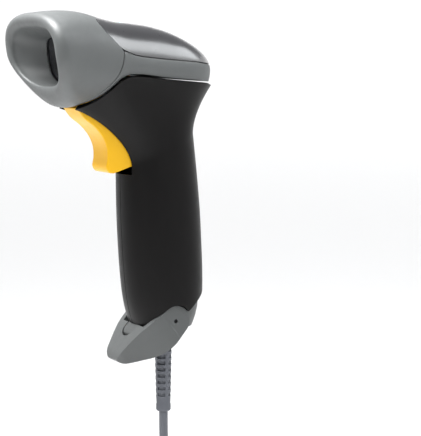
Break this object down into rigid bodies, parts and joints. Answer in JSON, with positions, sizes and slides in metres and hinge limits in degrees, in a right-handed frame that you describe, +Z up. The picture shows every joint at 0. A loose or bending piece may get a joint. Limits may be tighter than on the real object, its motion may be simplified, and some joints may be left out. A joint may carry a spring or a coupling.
{
  "type": "handheld barcode scanner",
  "caption": "Handheld barcode scanner: pistol grip with a pull trigger, a soft bumper round the scan window, a hinged foot under the grip, and a coiled USB cable.",
  "frame": {"origin": "the middle of the grip, where a hand holds it", "axes": "+Z up along the grip, -Y the way the nose points, +X the scanner's left side"},
  "size_m": [0.065, 0.1045, 0.3634],
  "materials": {
    "aiming_led": "clear moulded",
    "bottom_cap": "matte, fine grain",
    "buzzer": "moulded",
    "cable": "satin",
    "cable_coil": "satin",
    "cable_plug": "moulded",
    "cable_socket": "moulded",
    "cable_tail": "satin",
    "cable_tie": "matte",
    "engine_bracket": "sheet",
    "engine_housing": "moulded",
    "engine_screw_left": "plated",
    "engine_screw_right": "plated",
    "foot": "matte, fine grain",
    "foot_pin_left": "blackened",
    "foot_pin_right": "blackened",
    "grip_shell_left": "satin",
    "grip_shell_right": "satin",
    "head_board": "solder mask",
    "indicator_led": "clear moulded",
    "indicator_lens": "clear moulded",
    "lamp_left": "clear moulded",
    "lamp_right": "clear moulded",
    "lens_barrel": "moulded",
    "main_board": "solder mask",
    "nose_bumper": "matte soft-touch, fine grain",
    "processor": "moulded",
    "receive_lens": "coated",
    "ribbon_cable": "polyimide film",
    "scan_window": "polished, dark",
    "sensor_board": "solder mask",
    "shell_screw_1": "plated",
    "shell_screw_2": "plated",
    "shell_screw_3": "plated",
    "side_band": "matte, fine grain",
    "strain_relief": "matte",
    "switch_body": "moulded",
    "switch_plunger": "moulded",
    "top_cover": "high gloss",
    "trigger": "smooth",
    "trigger_pin": "ground",
    "trigger_spring": "drawn wire",
    "usb_overmould": "matte",
    "usb_shell": "nickel plated",
    "usb_tongue": "moulded",
    "window_gasket": "matte"
  },
  "bodies": {
    "grip": {"aiming_led": "aiming_led", "bottom_cap": "bottom_cap", "buzzer": "buzzer", "cable": "cable", "cable_coil": "cable_coil", "cable_plug": "cable_plug", "cable_socket": "cable_socket", "cable_tail": "cable_tail", "cable_tie": "cable_tie", "engine_bracket": "engine_bracket", "engine_housing": "engine_housing", "engine_screw_left": "engine_screw_left", "engine_screw_right": "engine_screw_right", "foot_pin_left": "foot_pin_left", "foot_pin_right": "foot_pin_right", "grip_shell_left": "grip_shell_left", "grip_shell_right": "grip_shell_right", "head_board": "head_board", "indicator_led": "indicator_led", "indicator_lens": "indicator_lens", "lamp_left": "lamp_left", "lamp_right": "lamp_right", "lens_barrel": "lens_barrel", "main_board": "main_board", "nose_bumper": "nose_bumper", "processor": "processor", "receive_lens": "receive_lens", "ribbon_cable": "ribbon_cable", "scan_window": "scan_window", "sensor_board": "sensor_board", "shell_screw_1": "shell_screw_1", "shell_screw_2": "shell_screw_2", "shell_screw_3": "shell_screw_3", "side_band": "side_band", "strain_relief": "strain_relief", "switch_body": "switch_body", "top_cover": "top_cover", "trigger_pin": "trigger_pin", "trigger_spring": "trigger_spring", "usb_overmould": "usb_overmould", "usb_shell": "usb_shell", "usb_tongue": "usb_tongue", "window_gasket": "window_gasket"},
    "trigger": {"trigger": "trigger"},
    "plunger": {"switch_plunger": "switch_plunger"},
    "foot": {"foot": "foot"}
  },
  "joints": [
    {"name": "trigger_hinge", "type": "hinge", "parent": "grip", "child": "trigger", "pos_m": [0, -0.029, 0.053], "axis": [1, 0, 0], "range_deg": [0, 3.5], "stiffness_Nm_per_rad": 0.6, "springref_deg": -3.44, "deforming": ["trigger_spring"]},
    {"name": "switch_plunger_slide", "type": "slide", "parent": "grip", "child": "plunger", "axis": [0, 1, 0], "range_m": [0, 0.00175]},
    {"name": "foot_hinge", "type": "hinge", "parent": "grip", "child": "foot", "pos_m": [0, 0.0028, -0.053], "axis": [1, 0, 0], "range_deg": [0, 30]}
  ],
  "couplings": [
    {"joint": "switch_plunger_slide", "follows": "trigger_hinge", "m_per_rad": 0.028}
  ]
}
